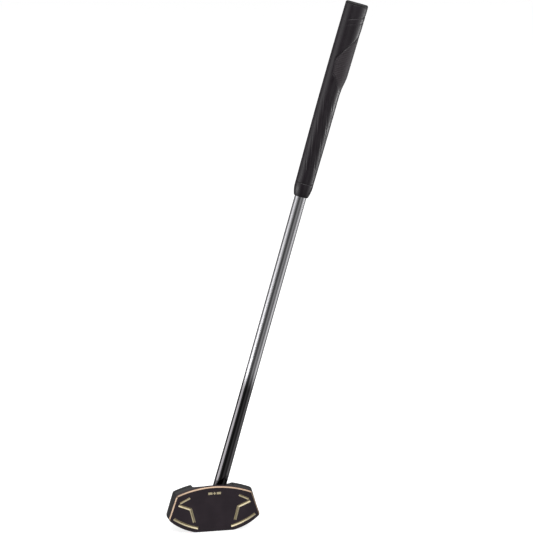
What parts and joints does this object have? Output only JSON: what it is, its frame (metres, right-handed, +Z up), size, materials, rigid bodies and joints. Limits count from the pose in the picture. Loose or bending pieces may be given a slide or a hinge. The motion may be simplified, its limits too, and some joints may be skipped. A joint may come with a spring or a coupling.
{
  "type": "lawn golf mallet club",
  "caption": "Rigid mallet club with a wide wooden head, bevelled dark face with gold grooves, leaning round shaft and thick rubber grip with a palm swell.",
  "frame": {"origin": "middle of the sole plate's underside, on the ground", "axes": "+Z up; the striking face looks towards -Y; +X towards the heel, the side that the shaft leans to"},
  "size_m": [0.3024, 0.0682, 0.7726],
  "materials": {
    "lacquered_wood": "black piano lacquer on laminated hardwood, glossy",
    "face_polymer": "moulded carbon-black hard polymer, satin",
    "gold_trim": "champagne gold plated band, satin",
    "gold_inlay": "pale gold lining in V grooves, satin",
    "sole_metal": "brushed stainless wear plate",
    "fastener_steel": "plain steel",
    "shaft_metal": "bright satin metal, fading to gloss black lacquer near the head",
    "inner_plastic": "moulded plastic, hidden",
    "peg_wood": "plain beech, hidden",
    "tape": "woven mounting tape, hidden",
    "grip_rubber": "matt moulded rubber with a ribbed palm panel",
    "cap_plastic": "moulded cap"
  },
  "bodies": {
    "root": {"head_body": "lacquered_wood", "face_plate": "face_polymer", "face_trim_band": "gold_trim", "face_locating_pegs": "peg_wood", "face_badge": "gold_inlay", "sole_plate": "sole_metal", "sole_screws": "fastener_steel", "sole_weight": "fastener_steel", "shaft_tube": "shaft_metal", "shaft_tip_plug": "inner_plastic", "shaft_cross_pin": "fastener_steel", "shaft_butt_plug": "inner_plastic", "grip_tape": "tape", "grip_sleeve": "grip_rubber", "grip_collar": "grip_rubber", "grip_end_cap": "cap_plastic", "upper_inlay_heel": "gold_inlay", "upper_inlay_toe": "gold_inlay", "chevron_inlay_heel": "gold_inlay", "chevron_inlay_toe": "gold_inlay", "lower_inlay_heel": "gold_inlay", "lower_inlay_toe": "gold_inlay"}
  },
  "joints": []
}
